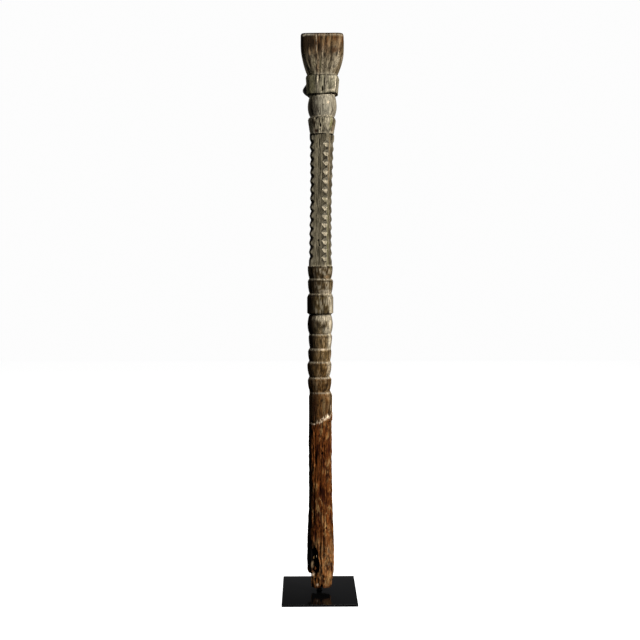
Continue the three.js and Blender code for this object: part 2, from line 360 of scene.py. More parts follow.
def band_grid(rows):
    z, r, power, turn, shift = (np.array(c)[:, None] for c in zip(*rows))
    angle = angles_from(np.full((len(rows), len(ARRISES)), float(ARRIS_SPREAD)))
    radius = r * squareness(angle - turn, power)
    return angle, np.broadcast_to(z, angle.shape), radius, np.broadcast_to(shift, angle.shape)


def shaft_grid():
    count = math.ceil((SHAFT.top - SHAFT.bottom) / SHAFT_STEP)
    z = np.linspace(SHAFT.bottom + SHAFT.gap, SHAFT.top - SHAFT.gap, count)
    corner = diagonal(z)
    arris = np.stack([corner - SHAFT.worn - arris_cut(z, a) for a in ARRISES], axis=1)
    angle = angles_from(np.degrees(np.arctan(corner[:, None] / arris - 1)))
    radius = np.full_like(angle, FAR)
    for k, a in enumerate(ARRISES):
        off = np.radians(apart(angle, a.angle))
        cut = arris[:, k : k + 1] / np.maximum(np.cos(off), LEAST_COSINE)
        face = np.radians(apart(angle, a.angle + ARRIS_TO_FACE))
        side = corner[:, None] / math.sqrt(2) / np.maximum(np.cos(face), LEAST_COSINE)
        radius = np.minimum(radius, np.where(np.abs(off) < math.radians(ARRIS_TO_FACE), cut, FAR))
        radius = np.minimum(radius, np.where(np.abs(face) < math.radians(FACE_REACH), side, FAR))
    shift = np.full_like(angle, SHAFT.shift)
    return angle, np.broadcast_to(z[:, None], angle.shape), radius, shift


# Features cut or worn into the timber
CRACKS = [
    # angle, height, half-length, half-width in degrees, depth
    (-13, 1668, 16, 1.6, 2.0),
    (-17, 1638, 10, 1.5, 1.8),
    (-20, 1612, 14, 1.4, 1.6),
    (31, 1650, 18, 1.6, 1.6),
    (-38, 1625, 22, 1.6, 1.8),
    (-20, 1562, 26, 1.3, 1.8),
    (10, 1564, 24, 1.3, 1.6),
    (53, 1560, 28, 1.4, 1.8),
    (-17, 1388, 12, 1.8, 1.8),
    (-30, 850, 30, 2.0, 1.2),
    (5, 700, 24, 1.8, 1.0),
]
PITS = [
    # angle, height, half-width, half-height, depth, all but the angle in mm
    (41, 1652, 2.5, 4, 2.5),
    (-14, 1580, 2.4, 6, 3.0),
    (-3, 1546, 2.6, 8, 3.5),
    (30, 1574, 2.6, 3, 1.6),
    (-25, 1462, 3.5, 3, 3.5),
    (-9, 1440, 2.6, 5, 4.0),
    (-11, 1428, 2.0, 2.5, 2.5),
    (-27, 1424, 5.0, 6, 2.0),
    (55, 1394, 2.2, 2.4, 3.0),
    (-18, 1096, 2.2, 2.6, 3.0),
    (-8, 1081, 2.0, 2.2, 2.5),
    (-27, 430, 4.0, 22, 7.0),
    (9, 443, 4.0, 4.6, 7.0),
    (55, 367, 4.5, 5, 5.0),
    (24, 212, 2.8, 3.4, 5.0),
    (37, 205, 2.8, 3.4, 5.0),
    (-6, 330, 3.0, 18, 3.0),
    (30, 310, 3.4, 26, 3.0),
    (-35, 250, 4.0, 30, 4.0),
    (12, 150, 3.0, 30, 3.5),
]
SPLINTERS = [
    # angle, height, half-angle, half-height of the sound wood left standing in the rotted hollow
    (-22, 124, 3, 8),
    (-38, 118, 3, 7),
    (-43, 98, 3, 12),
    (-31, 84, 6, 8),
]
SKIN_CHECKS = 46
SKIN_CHECK_WIDTH = 1.5
RAW_CHECKS = 60
HOLLOW = Sizes(angle=-27, height=110, half_width=14, half_height=44, depth=17)
# Height and half-height of the painted shade on the foot's left around the hollow
FOOT_SHADE = Sizes(height=118, half=50)
STUMP = Sizes(top=68, side=29)
SPLIT = Sizes(angle=3, half_angle=9, rise=14)
HIGHEST_LUMP = 6
EROSION = 0.014
EROSION_FADE = 60

# Edge of the weathered skin: angle and height of points along it, and half the height over which it fades
SKIN_EDGE = [(-180, 550), (-90, 540), (-40, 537), (2, 543), (38, 557), (90, 566), (180, 550)]
SKIN_FADE = 1.5


def skin_edge(angle):
    """Height of the ragged line where the weathered skin ends, rising to the right across the front."""
    angles, heights = zip(*SKIN_EDGE)
    slope = np.interp(apart(angle, 0), angles, heights)
    level = np.zeros_like(angle)
    return slope + 5 * streaks(angle, level, 24, 40, 5) + 2 * streaks(angle, level, 60, 40, 6)


def raw_share(angle, z):
    """0 on the weathered skin, 1 on the bare wood below its edge."""
    edge = skin_edge(angle)
    return 1 - ramp(z, edge - SKIN_FADE, edge + SKIN_FADE)


def grain(angle, z):
    """Ridges along the fibres."""
    drift = angle + 5 * streaks(angle, z, 6, 210, 21)
    broad = streaks(drift, z, 44, 150, 22)
    middle = streaks(drift, z, 96, 64, 23)
    fine = streaks(drift, z, 170, 26, 24)
    return 0.5 * broad + 0.32 * middle + 0.18 * fine


def crack_depth(angle, z):
    depth = np.zeros_like(z)
    wander = 2.5 * streaks(angle * 0, z, 4, 45, 31)
    for middle, height, half, width, deep in CRACKS + random_cracks():
        along = np.clip(1 - ((z - height) / half) ** 2, 0, 1) ** 0.5
        off = apart(angle, middle + wander) / width
        depth = np.maximum(depth, deep * along * np.exp(-off * off))
    return depth


def random_cracks():
    """Drying checks all round, deeper and longer in the bare wood."""
    rng = np.random.default_rng(41)
    found = []
    for _ in range(SKIN_CHECKS):
        angle = rng.uniform(0, 360)
        height = rng.uniform(600, 1690)
        half = rng.uniform(10, 40)
        found.append((angle, height, half, SKIN_CHECK_WIDTH, rng.uniform(0.5, 1.6)))
    for _ in range(RAW_CHECKS):
        angle = rng.uniform(0, 360)
        height = rng.uniform(60, 530)
        half = rng.uniform(25, 110)
        width = rng.uniform(1.6, 3)
        found.append((angle, height, half, width, rng.uniform(1, 4)))
    return found


def pit_depth(angle, z, radius):
    depth = np.zeros_like(z)
    for middle, height, width, tall, deep in PITS:
        across = np.radians(apart(angle, middle)) * radius / width
        along = (z - height) / tall
        depth = np.maximum(depth, deep * np.exp(-((across * across + along * along) ** 2)))
    return depth


def erosion(angle, z):
    """The broad hollows of the raw foot, as in the solid, as a share of its radius."""
    turn = np.radians(angle)
    broad = np.sin(3 * turn + z / 95) + np.sin(2 * turn - z / 140 + 1)
    narrow = np.sin(7 * turn + np.sin(z / 60) * 1.4)
    return EROSION * broad + EROSION * narrow


def lug_height(angle, z):
    """Radius over the lug, and the collar's lower half-width away from it."""
    upper = ramp(z, LUG.top + 4, LUG.tip)
    lower = np.sqrt(np.clip((z - LUG.bottom + 2) / (LUG.tip - LUG.bottom), 0, 1))
    rise = np.where(z > LUG.tip, upper, lower)
    across = np.abs(apart(angle, LUG.angle)) / math.degrees((LUG.width / 2) / LUG.reach)
    face = np.sqrt(np.clip(1 - (across / 1.25) ** 4, 0, 1))
    return COLLAR.lower + (LUG.reach + 1 - COLLAR.lower) * rise * face


def torn(angle, z):
    """Eroded fibres of the bare wood: 0 on the ridges, down to about -1 between them."""
    drift = angle + 9 * streaks(angle, z, 9, 60, 51) + 4 * streaks(angle, z, 22, 22, 55)
    coarse = np.abs(streaks(drift, z, 24, 46, 52))
    flecks = np.abs(streaks(drift, z, 44, 18, 53))
    fine = np.abs(streaks(drift, z, 80, 10, 54))
    return -(0.42 * coarse + 0.42 * flecks + 0.26 * fine)


def carve(angle, z, radius):
    """Radius with all relief, and how deep below the general surface each place lies."""
    raw = raw_share(angle, z)
    skin = radius * (1 + ramp(NECK.bottom - z, 0, EROSION_FADE) * erosion(angle, z))
    fibres = grain(angle, z)
    checks = thin_lines(angle, z, 54, 60, 26) * ramp(streaks(angle, z, 18, 50, 28), -0.1, 0.5)
    on_shaft = within(z, SHAFT.bottom, SHAFT.top)
    checks *= np.where(on_shaft, 0.5, 1.0)
    skin_relief = 0.7 * fibres - 0.9 * checks
    torn_relief = 0.5 * fibres + 3.6 * (torn(angle, z) + 0.3) + 0.8
    relief = (1 - raw) * skin_relief + raw * torn_relief
    sunk = crack_depth(angle, z) + pit_depth(angle, z, radius)
    return skin + relief - sunk, sunk - np.minimum(relief, 0)


def splinters(angle, z):
    """1 on the splinters that stand in the rotted hollow, 0 away from them."""
    share = np.zeros_like(z)
    for middle, height, wide, tall in SPLINTERS:
        off = (apart(angle, middle) / wide) ** 2 + ((z - height) / tall) ** 2
        share = np.maximum(share, np.exp(-off * off))
    return share


def decay(angle, z, radius):
    """Radius with the rotted hollow and the broken stump under it, and how far into the hollow each place
    lies, clear of the splinters.
    """
    across = np.radians(apart(angle, HOLLOW.angle)) * FOOT.thick / HOLLOW.half_width
    along = (z - HOLLOW.height) / HOLLOW.half_height
    ragged = 0.5 * streaks(angle, z, 30, 24, 60) + 0.3 * streaks(angle, z, 64, 12, 64)
    inside = 1 - across**2 - along**2 + ragged
    sound = splinters(angle, z)
    hollow = FOOT.thick - HOLLOW.depth * ramp(inside, -0.05, 0.6) * (1 - 0.85 * sound)
    hollow += 1.6 * streaks(angle, z, 60, 22, 61)
    out = np.where(inside > 0, np.minimum(radius, hollow), radius)
    edge = -STUMP.side - 2 * streaks(angle, z, 40, 18, 62)
    side = np.sin(np.radians(angle))
    wall = np.where(side < -LEAST_COSINE, edge / np.minimum(side, -LEAST_COSINE), FAR)
    cut = z < STUMP.top + 5 * streaks(angle, z * 0, 40, 40, 63)
    return np.where(cut, np.minimum(out, wall), out), np.clip(inside, 0, 1) * (1 - sound)


def foot_end(angle):
    """How far the ragged end rises above the lowest wood."""
    split = np.clip(1 - np.abs(apart(angle, SPLIT.angle)) / SPLIT.half_angle, 0, 1)
    lumps = 1.2 + 2.4 * streaks(angle, angle * 0, 9, 40, 71) + 2 * streaks(angle, angle * 0, 31, 40, 72)
    return np.clip(lumps, 0, HIGHEST_LUMP) + SPLIT.rise * split


def collar_rise(angle, z):
    """How much higher the collar's lower edge runs on its right."""
    below = ramp(z, BULB.bottom, BULB.top)
    above = 1 - ramp(z, COLLAR.bottom + COLLAR.lower_edge, COLLAR.top)
    return COLLAR.rise * below * above * np.maximum(0, np.sin(np.radians(angle)))


def bend(z):
    """How far to the right the bowed axis lies at each height."""
    heights, aside = zip(*BEND)
    return np.interp(z, heights, aside)


def srgb(red, green, blue):
    """A colour picked on screen, as linear light."""
    c = np.array([red, green, blue]) / 255
    return np.where(c <= 0.04045, c / 12.92, ((c + 0.055) / 1.055) ** 2.4)


GREY = srgb(150, 143, 126)
OLIVE = srgb(112, 103, 80)
MOSS = srgb(84, 80, 54)
UMBER = srgb(104, 86, 58)
# Soot on the timber, and also the colour of painted shade in cuts, checks and on the turned-away sides
SOOT_AND_SHADE = srgb(36, 25, 13)
SLATE = srgb(58, 58, 64)
RUST = srgb(78, 46, 20)
TAN = srgb(150, 124, 92)
HONEY = srgb(146, 114, 72)
SAND = srgb(142, 120, 90)
PALE = srgb(186, 174, 150)
CHIP = srgb(232, 208, 176)
RAW = srgb(86, 45, 15)
RAW_LIGHT = srgb(146, 94, 48)
RAW_DARK = srgb(40, 12, 4)
BLACK = srgb(8, 5, 4)
LICHEN = srgb(128, 128, 74)

# Weathered bands from the ground up: where each begins, its colour, its share of painted shade on the left,
# and its share of painted highlight on the right, or of painted shade there where that is below 0
BANDS = [
    (0, srgb(98, 66, 33), 0.8, -0.6),
    (LOWER_CUPS[3].bottom - 6, srgb(96, 69, 37), 0.75, 0.0),
    (LOWER_CUPS[2].bottom - 5, srgb(98, 74, 42), 0.8, 0.4),
    (LOWER_CUPS[1].bottom - 5, srgb(106, 84, 52), 0.95, 0.0),
    (LOWER_CUPS[0].bottom - 5, srgb(106, 86, 56), 0.95, 0.6),
    (BARREL.bottom - 3, srgb(82, 70, 48), 1.0, 0.6),
    (DRUM.bottom - 1, srgb(78, 65, 40), 0.95, 0.4),
    (UPPER_CUPS[1].bottom - 2, srgb(76, 62, 40), 0.85, -0.45),
    (SHAFT.bottom, srgb(114, 106, 86), 0.0, 0.0),
    (CONE.bottom, srgb(122, 115, 95), 0.35, -0.4),
    (BULB.bottom - 2, srgb(130, 124, 108), 0.35, -0.3),
    (COLLAR.bottom - 2, srgb(122, 116, 96), 0.3, -0.2),
    (CAPITAL.bottom - 1, srgb(112, 102, 82), 0.2, -0.75),
]
CROWN_BROWN = srgb(94, 71, 43)

# Heights of the up-facing edges painted pale, partly wear and partly painted highlight where they catch the
# light, and how much
WORN_AND_LIT_EDGES = [
    (POST_TOP - 6, 0.5),
    (CAPITAL.bottom + 3, 0.7),
    (BULB.top - 2, 0.9),
    (BULB.bottom + 1, 0.8),
    (CONE.bottom + 1, 0.7),
    (SHAFT.bottom + 2, 0.7),
    (UPPER_CUPS[0].bottom - 2, 0.7),
    (UPPER_CUPS[1].bottom - 2, 0.7),
    (BARREL.bottom - 2, 0.8),
    (LOWER_CUPS[0].bottom - 4, 0.9),
    (LOWER_CUPS[1].bottom - 4, 0.8),
    (LOWER_CUPS[2].bottom - 3, 0.8),
    (LOWER_CUPS[3].bottom - 5, 0.7),
]

# Heights of the grooves and joints painted dark as painted shade, and how much
SHADED_GROOVES = [
    (POST_TOP - 1, 0.8),
    (COLLAR.top, 0.9),
    (COLLAR.bottom, 0.5),
    (CONE.top, 0.6),
    (SHAFT.bottom - 3, 0.5),
    (UPPER_CUPS[1].top - 3, 0.6),
    (DRUM.top - 4, 0.4),
    (DRUM.bottom - 1, 0.8),
    (LOWER_CUPS[0].top - 3, 0.5),
    (LOWER_CUPS[1].top - 3, 0.5),
    (LOWER_CUPS[2].top - 3, 0.4),
    (LOWER_CUPS[3].top - 3, 0.4),
    (NECK.top - 3, 0.4),
]

PALE_EDGE_HALF = 2.2
GROOVE_HALF = 2.6

# Stains, bleached ridges, lichen and chips, with some painted shade and painted highlights among them:
# angle, height, half-angle, half-height, colour, share
PATCHES = [
    # capital
    (-38, 1680, 14, 26, SOOT_AND_SHADE, 0.7),
    (-34, 1701, 12, 2.4, GREY, 0.7),
    (-44, 1699, 2.4, 3.4, PALE * 1.1, 0.8),
    (-16.5, 1690, 1.0, 12, PALE, 0.6),
    (-12.5, 1667, 2.2, 14, SOOT_AND_SHADE, 0.85),
    (-17, 1662, 1.0, 9, PALE, 0.55),
    (-33, 1651, 2, 10, TAN, 0.7),
    (-36, 1625, 3, 20, SOOT_AND_SHADE, 0.8),
    (-20, 1634, 2.4, 10, SOOT_AND_SHADE, 0.8),
    (-20, 1604, 2.4, 12, RAW_DARK, 0.8),
    (-14, 1612, 3, 26, TAN, 0.6),
    (-6, 1616, 2, 16, MOSS, 0.8),
    (14, 1661, 1.6, 21, TAN, 0.75),
    (4, 1641, 2.6, 4, SOOT_AND_SHADE, 0.8),
    (20, 1658, 9, 10, SOOT_AND_SHADE, 0.35),
    (30, 1690, 6, 9, RUST, 0.7),
    (46, 1690, 4, 14, RUST, 0.7),
    (36, 1677, 3.4, 18, TAN, 0.45),
    (31, 1656, 8, 9, RUST, 0.6),
    (34, 1646, 2.6, 7, BLACK, 0.85),
    (-27, 1622, 5, 18, OLIVE, 0.6),
    (38, 1622, 8, 16, PALE, 0.35),
    (23, 1636, 2, 12, SOOT_AND_SHADE, 0.7),
    # collar, its gouge lines black in the grooves as painted shade and pale on their lips as painted
    # highlight
    (-50, 1560, 26, 40, MOSS, 0.65),
    (-23, 1560, 2.6, 30, BLACK, 0.9),
    (-18, 1560, 2.4, 30, PALE, 0.95),
    (-12, 1577, 3, 5, SOOT_AND_SHADE, 0.8),
    (7.5, 1560, 2.6, 30, BLACK, 0.9),
    (12.5, 1560, 2.4, 30, PALE, 0.95),
    (27, 1573, 2.4, 4, SOOT_AND_SHADE, 0.8),
    (26, 1541, 14, 2.4, PALE, 0.7),
    (26, 1581, 14, 2.4, PALE, 0.6),
    (42, 1560, 2.4, 28, PALE, 0.9),
    (47, 1560, 2.6, 30, BLACK, 0.85),
    (53, 1558, 4, 28, PALE, 0.15),
    # bulb and cone, the bulb's left darkened as painted shade
    (-50, 1498, 20, 28, SOOT_AND_SHADE, 0.75),
    (-23, 1487, 6, 14, SOOT_AND_SHADE, 0.7),
    (-23, 1517, 4, 6, SOOT_AND_SHADE, 0.55),
    (-10, 1488, 1.8, 11, SOOT_AND_SHADE, 0.8),
    (3, 1500, 5, 2.6, SOOT_AND_SHADE, 0.7),
    (-3, 1494, 1.6, 6, SOOT_AND_SHADE, 0.5),
    (15, 1512, 18, 14, PALE, 0.2),
    (22, 1506, 4, 4, CHIP, 0.6),
    (42, 1486, 2, 12, SOOT_AND_SHADE, 0.75),
    (-25, 1459, 5, 5, BLACK, 0.85),
    (-31, 1424, 6, 7, RAW_DARK, 0.85),
    (20, 1440, 9, 16, PALE, 0.4),
    (37, 1450, 6, 18, LICHEN, 0.45),
    (50, 1429, 4, 10, RUST, 0.8),
    # shaft
    (-17, 1386, 2, 14, SOOT_AND_SHADE, 0.7),
    (8, 1386, 3, 3, PALE, 0.7),
    (35, 1385, 5, 8, SOOT_AND_SHADE, 0.5),
    (23, 1221, 10, 10, MOSS, 0.6),
    (48, 1110, 8, 110, LICHEN, 0.25),
    (47, 1330, 6, 80, TAN, 0.4),
    # cups, drum and barrel
    (30, 984, 14, 6, TAN, 0.5),
    (26, 941, 34, 7, PALE, 0.35),
    (50, 900, 7, 30, PALE, 0.4),
    (12, 860, 40, 10, PALE, 0.55),
    (46, 850, 10, 18, PALE, 0.6),
    (-14, 846, 8, 10, SOOT_AND_SHADE, 0.6),
    (14, 838, 9, 5, SOOT_AND_SHADE, 0.6),
    (30, 822, 18, 10, PALE, 0.6),
    (46, 786, 10, 16, PALE, 0.5),
    (14, 764, 12, 3, CHIP, 0.6),
    (53, 742, 2.4, 16, CHIP, 0.7),
    # neck
    (15, 590, 7, 34, UMBER * 0.9, 0.7),
    (53, 584, 2, 9, CHIP, 0.8),
    (-30, 585, 12, 36, RAW_DARK, 0.5),
    # edge of the skin
    (34, 557, 7, 4.5, CHIP, 0.95),
    (31, 562, 3, 4.5, CHIP, 0.75),
    (23, 559, 2.4, 5, CHIP, 0.75),
    (20, 550, 6, 3.4, CHIP, 0.9),
    (13, 555, 3, 3, CHIP, 0.7),
    (7, 552, 4, 1.8, CHIP, 0.8),
    (-2, 548, 3, 2, CHIP, 0.75),
    (5, 543, 5, 2.8, CHIP, 0.8),
    (-4, 539, 3, 4, CHIP, 0.6),
    (-17, 542, 4, 4.5, CHIP, 0.7),
    # foot, the splinters in the hollow painted pale as painted highlight against its shade
    (-22, 124, 2.4, 7, CHIP, 0.95),
    (-38, 118, 3, 6, HONEY, 0.9),
    (-43, 98, 1.8, 10, TAN, 0.8),
    (-31, 84, 5, 8, RAW, 0.8),
    (-30, 44, 20, 26, RAW_LIGHT, 0.4),
    (-38, 65, 4, 6, CHIP, 0.75),
    (-27, 62, 2.4, 8, TAN, 0.6),
    (36, 48, 10, 26, HONEY, 0.6),
    (-48, 27, 24, 10, RAW_DARK * 0.5, 0.95),
    (-14, 22, 20, 6, RAW_DARK, 0.9),
    (-18, 33, 8, 4, CHIP, 0.6),
    (3, 38, 8, 20, RAW_DARK, 0.85),
    (42, 22, 40, 7, RAW_DARK, 0.85),
]


def blend(under, over, share):
    return under + (over - under) * np.clip(share, 0, 1)[..., None]


def near(z, height, half):
    return np.exp(-(((z - height) / half) ** 2))


def band_tones(z):
    """Each band's colour, its share of painted shade on the left, and its share of painted highlight on the
    right, or of painted shade there where below 0.
    """
    colour = np.empty(z.shape + (3,))
    left = np.zeros_like(z)
    right = np.zeros_like(z)
    for bottom, tone, left_shade, right_light_shade in BANDS:
        colour[z >= bottom] = tone
        left[z >= bottom] = left_shade
        right[z >= bottom] = right_light_shade
    return colour, left, right


def right_side_shade(colour, angle, z, right):
    """Painted shade on the right: a darker brown on the bands, and on the shaft a darker olive from the
    front round to a near-black right face.
    """
    turn = apart(angle, 0)
    on_shaft = within(z, SHAFT.bottom, SHAFT.top)
    on_upper_cups = within(z, DRUM.top, SHAFT.bottom)
    right_shade = np.where(on_shaft, 0.8, 0.0) + 0.5 * on_upper_cups - np.minimum(right, 0)
    shade_tone = blend(UMBER * 0.75, OLIVE * 0.58, 1.0 * on_shaft)
    colour = blend(colour, shade_tone, right_shade * between(turn, 26, 50, 100, 150))
    colour = blend(colour, SOOT_AND_SHADE, 0.22 * on_shaft * between(turn, -12, 12, 60, 120))
    return blend(colour, SOOT_AND_SHADE, 0.6 * on_shaft * between(turn, 64, 78, 84, 110))


def streak_strength(z, mottle):
    """How strongly the pale and sooty streaks show at each height."""
    strength = np.where(within(z, SHAFT.bottom, SHAFT.top), 0.35, 1.0)
    strength = np.where(within(z, DRUM.top, SHAFT.bottom), 0.75, strength)
    strength = np.where(within(z, BULB.bottom, COLLAR.top), 0.38, strength)
    strength = np.where(within(z, BULB.bottom, BULB.top), 0.24, strength)
    drips = 0.4 + 0.6 * ramp(z + 10 * mottle, CAPITAL.bottom + 30, CAPITAL.bottom + 75)
    return np.where(z > CAPITAL.bottom, drips, strength)


def paleness(z):
    """How pale the light streaks are: less on the brown ends, the capital, the drum and the upper cups."""
    brown_ends = ramp(z, CAPITAL.bottom + 40, POST_TOP - 30) + ramp(-z, -NECK.top - 10, -NECK.top)
    on_capital = z > CAPITAL.bottom
    on_drum_and_cups = within(z, DRUM.bottom, SHAFT.bottom)
    return 1 - 0.6 * brown_ends - 0.3 * on_capital - 0.3 * on_drum_and_cups


def weathered(angle, z, mottle, fleck):
    """Colour of the weathered bands, with their streaks, pale edges that are partly wear and partly painted
    highlight, grooves painted dark as painted shade, painted shade on their left and painted highlight on
    their right.
    """
    turn = apart(angle, 0)
    colour, left, right = band_tones(z)
    crown = ramp(z + 20 * mottle, CAPITAL.bottom + 20, POST_TOP - 15)
    colour = blend(colour, CROWN_BROWN, crown)
    colour = blend(colour, RUST, 0.6 * crown * ramp(streaks(angle, z, 34, 26, 98), 0.0, 0.5))
    # Painted shade: the crown of the capital darker on its left
    left += 0.85 * crown
    colour = right_side_shade(colour, angle, z, right)
    streaky = streak_strength(z, mottle)
    pale = paleness(z)
    below = 1 - ramp(z, BARREL.bottom, DRUM.bottom)
    light = blend(PALE, SAND, below)
    colour = blend(colour, light, 0.6 * pale * streaky * ramp(mottle, 0.05, 0.6))
    colour = blend(colour, SOOT_AND_SHADE, 0.85 * streaky * (1 - 0.4 * below) * ramp(-mottle, 0.05, 0.6))
    ridges = thin_lines(angle, z, 60, 34, 86) * ramp(mottle, -0.2, 0.3)
    cracks = thin_lines(angle, z, 66, 40, 88) * ramp(-mottle, -0.3, 0.2)
    colour = blend(colour, light, 0.55 * pale * streaky * ridges)
    colour = blend(colour, SOOT_AND_SHADE * 0.6, 0.85 * streaky * cracks)
    # Painted highlight on the right of the bands where the light falls, and painted shade on their left,
    # turned from it
    colour = blend(colour, PALE, right * between(turn + 8 * mottle, 26, 50, 58, 84))
    colour = blend(colour, SOOT_AND_SHADE * 0.4, left * between(-turn + 10 * mottle, 0, 42, 70, 115))
    # Pale edges: partly wear, partly painted highlight, stronger towards the lit right
    worn = (0.75 + 0.5 * fleck) * (0.45 + 0.55 * ramp(turn, -45, 15))
    # Painted shade in the grooves and joints
    for height, share in SHADED_GROOVES:
        colour = blend(colour, BLACK, share * near(z, height, GROOVE_HALF))
    for height, share in WORN_AND_LIT_EDGES:
        colour = blend(colour, PALE, 0.8 * share * worn * near(z, height, PALE_EDGE_HALF))
    return colour


def shaded_arris(colour, turn, flat, cut, on_shaft, in_cut):
    """An arris turned from the light, painted black along it and in its V-cuts as painted shade, with grey
    teeth left between its cuts.
    """
    off = np.abs(turn)
    front = ramp(turn, -14, 2)
    teeth = on_shaft * (1 - ramp(cut, 0, 4)) * between(off, 7, 9, 16, 22)
    in_depth = in_cut * (1 - ramp(off, flat + 2, flat + 8)) * ramp(cut, 0, 3)
    along = on_shaft * (1 - ramp(off, flat + 3, flat + 9))
    colour = blend(colour, GREY, 0.4 * teeth)
    colour = blend(colour, BLACK, 0.9 * front * in_depth)
    return blend(colour, BLACK, 0.9 * front * along)


def lit_and_shaded_arris(colour, turn, z, flat, cut, on_shaft, in_cut):
    """An arris with V-cuts painted pale on their long lower slopes as painted highlight where they face up
    into the light, a lighter grey on their upper slopes against their shade, dark along their edges, and
    darkest where two meet as painted shadow under the tip.
    """
    off = np.abs(turn)
    inside = in_cut & (off < flat)
    upper = np.gradient(cut, axis=0) < 0
    edge = (off >= flat) * np.exp(-(((off - flat - 1.2) / 2.2) ** 2))
    meeting = on_shaft & (cut <= 1.5) & within(z, SHAFT.bottom + 12, NOTCH_TOP)
    colour = blend(colour, PALE, 0.4 * (inside & ~upper))
    colour = blend(colour, GREY, 0.5 * (inside & upper))
    colour = blend(colour, SOOT_AND_SHADE * 0.5, 0.95 * in_cut * edge)
    return blend(colour, SOOT_AND_SHADE * 0.3, 0.95 * meeting * np.exp(-((off / 4.8) ** 2)))


def notches(colour, angle, z):
    """Colour with the V-cuts along the four arrises."""
    on_shaft = within(z, SHAFT.bottom, SHAFT.top)
    corner = diagonal(z)
    for arris in ARRISES:
        cut = arris_cut(z[:, 0], arris)[:, None]
        turn = apart(angle, arris.angle)
        flat = np.degrees(np.arctan(corner / (corner - SHAFT.worn - cut) - 1)) + 0.2
        in_cut = on_shaft & (cut > 0.3)
        if arris.sooty:
            colour = shaded_arris(colour, turn, flat, cut, on_shaft, in_cut)
        else:
            colour = lit_and_shaded_arris(colour, turn, z, flat, cut, on_shaft, in_cut)
    return colour


def bare(angle, z, fleck):
    """Colour of the bare wood: light on the ridges of its torn fibres, dark red-brown between them, and
    painted shade on its left.
    """
    depth = -torn(angle, z)
    warm = streaks(angle, z, 22, 40, 84)
    colour = blend(RAW, RAW_LIGHT, 0.7 * ramp(0.26 - depth + 0.12 * warm, 0.0, 0.2))
    colour = blend(colour, RAW_DARK, 0.9 * ramp(depth - 0.08 * warm, 0.36, 0.58))
    low = ramp(200 - z, 0, 70)
    colour = blend(colour, RAW_LIGHT, 0.8 * low * ramp(0.6 - depth, 0.0, 0.3))
    curls = thin_lines(angle, z, 52, 20, 99, 0.18) * ramp(streaks(angle, z, 20, 26, 100), -0.2, 0.3)
    colour = blend(colour, HONEY, 0.75 * curls)
    colour = blend(colour, TAN, 0.45 * low * thin_lines(angle, z, 70, 34, 103, 0.2))
    # Painted shade: the foot's left, turned from the light, painted black
    side = -apart(angle, 0)
    left = between(side, 38, 52, 72, 110) * ramp(z, 60, 90)
    return blend(colour, BLACK, 0.93 * left) * (1 + 0.25 * fleck[..., None])


def paint(angle, z, sunk, hollow):
    """Colour of each place on the timber's sides."""
    long = 0.6 * streaks(angle, z, 84, 40, 81) + 0.6 * streaks(angle, z, 150, 18, 82)
    short = 0.5 * streaks(angle, z, 40, 16, 90) + 0.5 * streaks(angle, z, 90, 9, 91)
    mottle = 1.5 * np.where(z > CAPITAL.bottom, long, 0.3 * long + 0.75 * short)
    fleck = streaks(angle, z, 170, 12, 83)
    colour = notches(weathered(angle, z, mottle, fleck), angle, z)
    raw = raw_share(angle, z)
    # Painted shade: the deeper a place lies below the surface, the darker
    colour = blend(colour, SOOT_AND_SHADE, 0.9 * ramp(sunk, 0.7, 2.2))
    colour = blend(colour, bare(angle, z, fleck), raw)
    rough_edge = near(z, skin_edge(angle), 1.6 + 1.6 * ramp(apart(angle, 0), -10, 40))
    colour = blend(colour, CHIP, rough_edge * (0.15 + 0.7 * ramp(mottle, -0.4, 0.4)))
    # Painted shade: deep pits and cracks in the bare wood painted black
    colour = blend(colour, BLACK, 0.9 * ramp(sunk, 2.9, 5.4) * raw)
    # Painted shade: black inside the rotted hollow
    colour = blend(colour, BLACK, 0.97 * ramp(hollow, 0.02, 0.25))
    turn = apart(angle, 0)
    # Painted shade: the foot's left around the hollow painted black
    foot_shade = near(z, FOOT_SHADE.height, FOOT_SHADE.half) * ramp(-turn + 16 * mottle, 16, 30) * ramp(turn, -120, -90)
    colour = blend(colour, BLACK, 1.3 * raw * foot_shade)
    ragged = np.maximum(0.4, 1 + 0.4 * mottle)
    for middle, height, wide, tall, tone, share in PATCHES:
        off = ((apart(angle, middle) / wide) ** 2 + ((z - height) / tall) ** 2) * ragged
        colour = blend(colour, tone, share * np.exp(-off * off))
    lug = 1 - ramp(np.abs(apart(angle, LUG.angle)), 18, 28)
    lug = lug * between(z, LUG.bottom - 4, LUG.bottom, LUG.top - 8, LUG.top + 5)
    colour = blend(colour, SLATE, 0.85 * lug * (0.8 + 0.3 * mottle))
    return colour * (1 + 0.15 * fleck[..., None])


def on_band(z, band, soft=3):
    """1 along a band and 0 away from it, with soft ends."""
    begun = ramp(z, band.bottom - soft, band.bottom + soft)
    return begun - ramp(z, band.top - soft, band.top + soft)


def roughening(z):
    """How strongly the fine runs and specks of dirt show at each height."""
    return 0.9 - 0.15 * on_band(z, SHAFT) - 0.25 * on_band(z, BULB)


